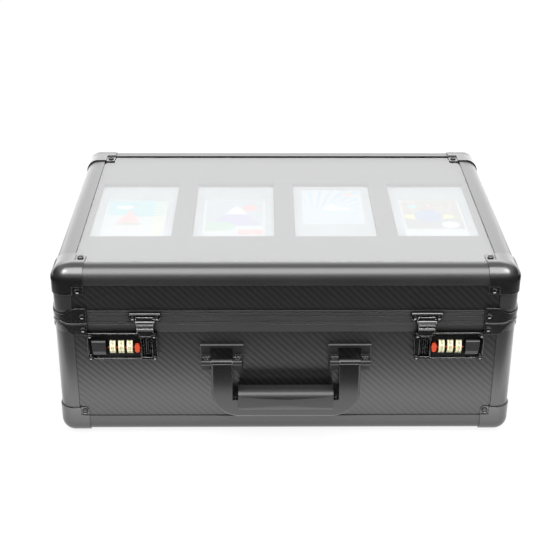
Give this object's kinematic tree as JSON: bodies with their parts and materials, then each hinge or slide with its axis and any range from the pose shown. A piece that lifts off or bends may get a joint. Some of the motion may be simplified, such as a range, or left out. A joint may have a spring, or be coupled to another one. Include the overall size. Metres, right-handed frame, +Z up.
{
  "type": "card storage case",
  "caption": "Hard carry case with a clear lid window over card holders, a folding front handle, combination locks with hasps, and foam rows inside for upright card holders.",
  "frame": {"origin": "middle of the case's footprint, on the floor under its feet", "axes": "+Z up, -Y towards the front with the handle and locks, +X to the right seen from the front"},
  "size_m": [0.4406, 0.3404, 0.1806],
  "materials": {
    "rail_black": "satin",
    "cap_black": "gloss",
    "board_striped": "satin",
    "rivet_black": "gloss",
    "foot_rubber": "matte",
    "foam_grey": "matte",
    "lock_black": "gloss",
    "pin_steel": "satin",
    "screw_black": "satin",
    "window_clear": "gloss",
    "holder_clear": "gloss",
    "card_print": "satin",
    "handle_black": "gloss",
    "grip_black": "satin",
    "wheel_cream": "gloss",
    "lever_red": "gloss"
  },
  "bodies": {
    "base": {"base_floor_board": "board_striped", "base_front_board": "board_striped", "base_rear_board": "board_striped", "base_left_board": "board_striped", "base_right_board": "board_striped", "base_bottom_rails": "rail_black", "base_corner_posts": "rail_black", "base_rim_rails": "rail_black", "base_corner_caps": "cap_black", "base_rim_corners": "cap_black", "base_rivets": "rivet_black", "base_feet": "foot_rubber", "foam_floor_pad": "foam_grey", "foam_row_dividers": "foam_grey", "foam_end_strips": "foam_grey", "lock_left": "lock_black", "lock_right": "lock_black", "lock_axles": "pin_steel", "handle_bracket_left": "cap_black", "handle_bracket_right": "cap_black", "bracket_screws": "screw_black", "handle_pins": "pin_steel", "hinge_base_leaves": "cap_black", "hinge_pins": "pin_steel"},
    "lid": {"lid_top_rails": "rail_black", "lid_corner_posts": "rail_black", "lid_rim_rails": "rail_black", "lid_front_board": "board_striped", "lid_rear_board": "board_striped", "lid_left_board": "board_striped", "lid_right_board": "board_striped", "lid_corner_caps": "cap_black", "lid_rim_corners": "cap_black", "lid_rivets": "rivet_black", "window_pane": "window_clear", "display_tray": "foam_grey", "holder_backs": "holder_clear", "holder_covers": "holder_clear", "display_cards": "card_print", "hasp_mounts": "lock_black", "hasp_pins": "pin_steel", "hinge_lid_leaves": "cap_black"},
    "handle": {"handle_frame": "handle_black", "handle_grip": "grip_black", "grip_screws": "screw_black"},
    "hasp_left": {"hasp_left": "lock_black"},
    "release_button_left": {"release_button_left": "lock_black"},
    "change_lever_left": {"change_lever_left": "lever_red"},
    "number_wheel_1_left": {"number_wheel_1_left": "wheel_cream"},
    "number_wheel_2_left": {"number_wheel_2_left": "wheel_cream"},
    "number_wheel_3_left": {"number_wheel_3_left": "wheel_cream"},
    "hasp_right": {"hasp_right": "lock_black"},
    "release_button_right": {"release_button_right": "lock_black"},
    "change_lever_right": {"change_lever_right": "lever_red"},
    "number_wheel_1_right": {"number_wheel_1_right": "wheel_cream"},
    "number_wheel_2_right": {"number_wheel_2_right": "wheel_cream"},
    "number_wheel_3_right": {"number_wheel_3_right": "wheel_cream"}
  },
  "joints": [
    {"name": "lid_hinge", "type": "hinge", "parent": "base", "child": "lid", "pos_m": [0, 0.16733, 0.1234], "axis": [-1, 0, 0], "range_deg": [0, 95]},
    {"name": "handle_swing", "type": "hinge", "parent": "base", "child": "handle", "pos_m": [0, -0.15877, 0.0887], "axis": [-1, 0, 0], "range_deg": [0, 100]},
    {"name": "hasp_left_swing", "type": "hinge", "parent": "lid", "child": "hasp_left", "pos_m": [-0.132, -0.15147, 0.1274], "axis": [-1, 0, 0], "range_deg": [0, 100]},
    {"name": "release_button_left_slide", "type": "slide", "parent": "base", "child": "release_button_left", "axis": [-1, 0, 0], "range_m": [0, 0.0015], "stiffness_N_per_m": 300, "springref_m": -0.001},
    {"name": "change_lever_left_slide", "type": "slide", "parent": "base", "child": "change_lever_left", "axis": [0, 0, -1], "range_m": [0, 0.0025]},
    {"name": "number_wheel_1_left_turn", "type": "hinge", "parent": "base", "child": "number_wheel_1_left", "pos_m": [-0.1631, -0.14677, 0.1009], "axis": [1, 0, 0], "continuous": true},
    {"name": "number_wheel_2_left_turn", "type": "hinge", "parent": "base", "child": "number_wheel_2_left", "pos_m": [-0.15505, -0.14677, 0.1009], "axis": [1, 0, 0], "continuous": true},
    {"name": "number_wheel_3_left_turn", "type": "hinge", "parent": "base", "child": "number_wheel_3_left", "pos_m": [-0.147, -0.14677, 0.1009], "axis": [1, 0, 0], "continuous": true},
    {"name": "hasp_right_swing", "type": "hinge", "parent": "lid", "child": "hasp_right", "pos_m": [0.132, -0.15147, 0.1274], "axis": [-1, 0, 0], "range_deg": [0, 100]},
    {"name": "release_button_right_slide", "type": "slide", "parent": "base", "child": "release_button_right", "axis": [1, 0, 0], "range_m": [0, 0.0015], "stiffness_N_per_m": 300, "springref_m": -0.001},
    {"name": "change_lever_right_slide", "type": "slide", "parent": "base", "child": "change_lever_right", "axis": [0, 0, -1], "range_m": [0, 0.0025]},
    {"name": "number_wheel_1_right_turn", "type": "hinge", "parent": "base", "child": "number_wheel_1_right", "pos_m": [0.1631, -0.14677, 0.1009], "axis": [1, 0, 0], "continuous": true},
    {"name": "number_wheel_2_right_turn", "type": "hinge", "parent": "base", "child": "number_wheel_2_right", "pos_m": [0.15505, -0.14677, 0.1009], "axis": [1, 0, 0], "continuous": true},
    {"name": "number_wheel_3_right_turn", "type": "hinge", "parent": "base", "child": "number_wheel_3_right", "pos_m": [0.147, -0.14677, 0.1009], "axis": [1, 0, 0], "continuous": true}
  ]
}
